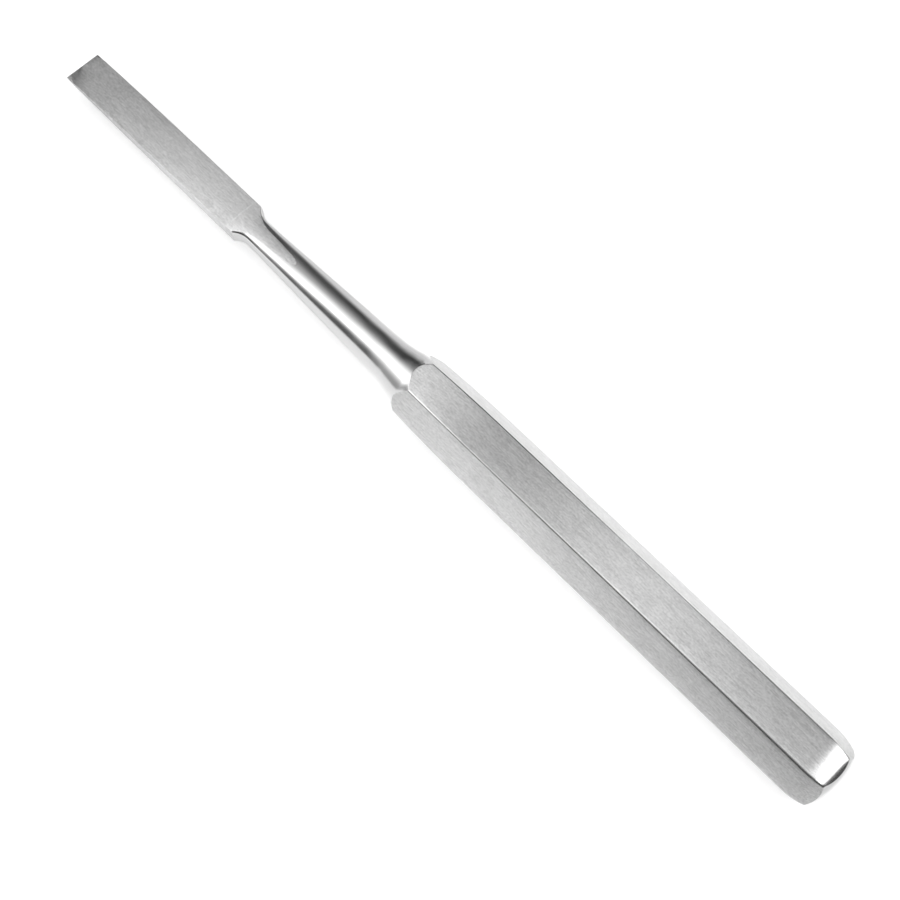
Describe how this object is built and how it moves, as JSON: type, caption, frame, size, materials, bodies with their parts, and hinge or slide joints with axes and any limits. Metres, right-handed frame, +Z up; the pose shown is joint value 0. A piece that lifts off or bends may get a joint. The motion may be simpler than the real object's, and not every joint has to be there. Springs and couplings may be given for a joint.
{
  "type": "osteotome",
  "caption": "Straight bone osteotome: a flat double-bevelled blade, a tapering neck that is round beside the handle and flatter towards the blade, and a hexagonal handle with a domed striking end, all one piece.",
  "frame": {"origin": "below the middle of the overall length, on the surface that the handle's lower flat lies on", "axes": "+X along the instrument towards the cutting edge, +Z up from the surface, +Y across the blade; the instrument's axis is at half the handle's height"},
  "size_m": [0.205, 0.015, 0.013],
  "materials": {
    "steel": "satin, brushed along its length on the blade and the handle's flats; polished neck and striking end"
  },
  "bodies": {
    "root": {"osteotome": "steel"}
  },
  "joints": []
}
